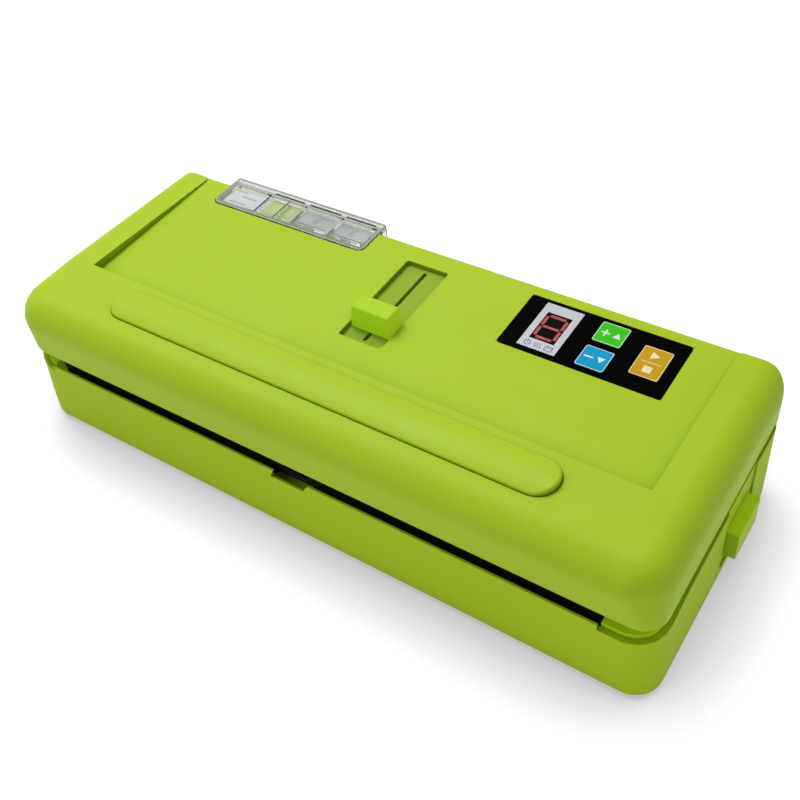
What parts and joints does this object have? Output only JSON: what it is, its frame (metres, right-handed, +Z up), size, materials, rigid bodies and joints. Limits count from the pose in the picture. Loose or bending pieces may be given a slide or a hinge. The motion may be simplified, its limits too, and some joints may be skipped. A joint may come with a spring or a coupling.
{
  "type": "vacuum packing machine",
  "caption": "Clamshell household vacuum packing machine: hinged lid with a slide-driven suction nozzle, key panel and pull-out clear liquid trap, over a base with heated sealing jaw and pump.",
  "frame": {"origin": "middle of the bounding box in plan, on the ground plane under the rubber feet", "axes": "+X along the machine's length to the right seen from the front, +Y from the front edge to the hinge, +Z up"},
  "size_m": [0.381, 0.1494, 0.0875],
  "materials": {
    "acetal_white": "moulded acetal",
    "bezel_grey": "printed film",
    "black_foam": "closed-cell foam",
    "black_plastic": "moulded plastic",
    "board_green": "circuit board with parts",
    "clear_hose": "silicone tube",
    "clear_tank": "clear moulded plastic",
    "frosted_panel": "frosted moulded plastic",
    "green_abs": "satin moulded plastic",
    "green_inner": "satin moulded plastic",
    "iron_core": "laminated core",
    "key_amber": "printed key",
    "key_blue": "printed key",
    "key_green": "printed key",
    "led_black": "smoked display face",
    "led_red": "lit segments",
    "motor_steel": "drawn steel can",
    "nichrome": "rolled ribbon",
    "overlay_black": "glossy printed film",
    "phenolic": "moulded heat-proof plastic",
    "ptfe": "PTFE-coated glass cloth",
    "rubber_black": "moulded rubber",
    "seal_rubber": "moulded rubber",
    "silicone": "soft silicone",
    "steel": "plated steel",
    "switch_black": "moulded switch"
  },
  "bodies": {
    "base": {"base_shell": "green_abs", "deck_plate": "green_inner", "heater_bar": "phenolic", "heating_element": "nichrome", "ptfe_tape": "ptfe", "lower_gasket": "black_foam", "pump_motor": "motor_steel", "pump_head": "black_plastic", "pump_hose": "clear_hose", "air_port_seal": "seal_rubber", "transformer": "iron_core", "power_board": "board_green", "power_inlet": "black_plastic", "rubber_feet": "rubber_black", "case_screws": "steel", "hinge_pins": "steel", "button_spring_left": "steel", "button_spring_right": "steel"},
    "release_right": {"release_button_right": "green_abs"},
    "release_left": {"release_button_left": "green_abs"},
    "lid": {"lid_shell": "green_abs", "press_bar": "green_abs", "lid_liner": "green_inner", "lid_screws": "steel", "upper_gasket": "black_foam", "pressure_strip": "silicone", "lid_hooks": "green_inner", "control_overlay": "overlay_black", "display_bezel": "bezel_grey", "digit_display": "led_black", "digit_segments": "led_red", "control_board": "board_green", "tact_switches": "switch_black", "nozzle_rails": "acetal_white", "nozzle_hose": "clear_hose", "tank_tray": "green_inner", "tank_ports": "acetal_white", "tank_gaskets": "seal_rubber", "lid_hose": "clear_hose", "lid_air_port": "acetal_white"},
    "slider": {"slider_knob": "green_abs", "nozzle_carriage": "acetal_white", "nozzle": "black_plastic"},
    "tank": {"liquid_tank": "clear_tank", "tank_cover": "clear_tank", "tank_baffles": "frosted_panel", "tank_float": "green_inner"},
    "increase": {"key_increase": "key_green"},
    "decrease": {"key_decrease": "key_blue"},
    "start_stop": {"key_start_stop": "key_amber"}
  },
  "joints": [
    {"name": "lid_hinge", "type": "hinge", "parent": "base", "child": "lid", "pos_m": [0, 0.0627, 0.05], "axis": [-1, 0, 0], "range_deg": [0, 75]},
    {"name": "nozzle_slide", "type": "slide", "parent": "lid", "child": "slider", "axis": [0, 1, 0], "range_m": [-0.008, 0.04], "deforming": ["nozzle_hose"]},
    {"name": "tank_slide", "type": "slide", "parent": "lid", "child": "tank", "axis": [0, 1, 0], "range_m": [0, 0.03]},
    {"name": "release_right_press", "type": "slide", "parent": "base", "child": "release_right", "axis": [-1, 0, 0], "range_m": [0, 0.003], "stiffness_N_per_m": 400, "deforming": ["button_spring_right"]},
    {"name": "release_left_press", "type": "slide", "parent": "base", "child": "release_left", "axis": [1, 0, 0], "range_m": [0, 0.003], "stiffness_N_per_m": 400, "deforming": ["button_spring_left"]},
    {"name": "increase_press", "type": "slide", "parent": "lid", "child": "increase", "axis": [0, 0, -1], "range_m": [0, 0.0006], "stiffness_N_per_m": 600},
    {"name": "decrease_press", "type": "slide", "parent": "lid", "child": "decrease", "axis": [0, 0, -1], "range_m": [0, 0.0006], "stiffness_N_per_m": 600},
    {"name": "start_stop_press", "type": "slide", "parent": "lid", "child": "start_stop", "axis": [0, 0, -1], "range_m": [0, 0.0006], "stiffness_N_per_m": 600}
  ]
}
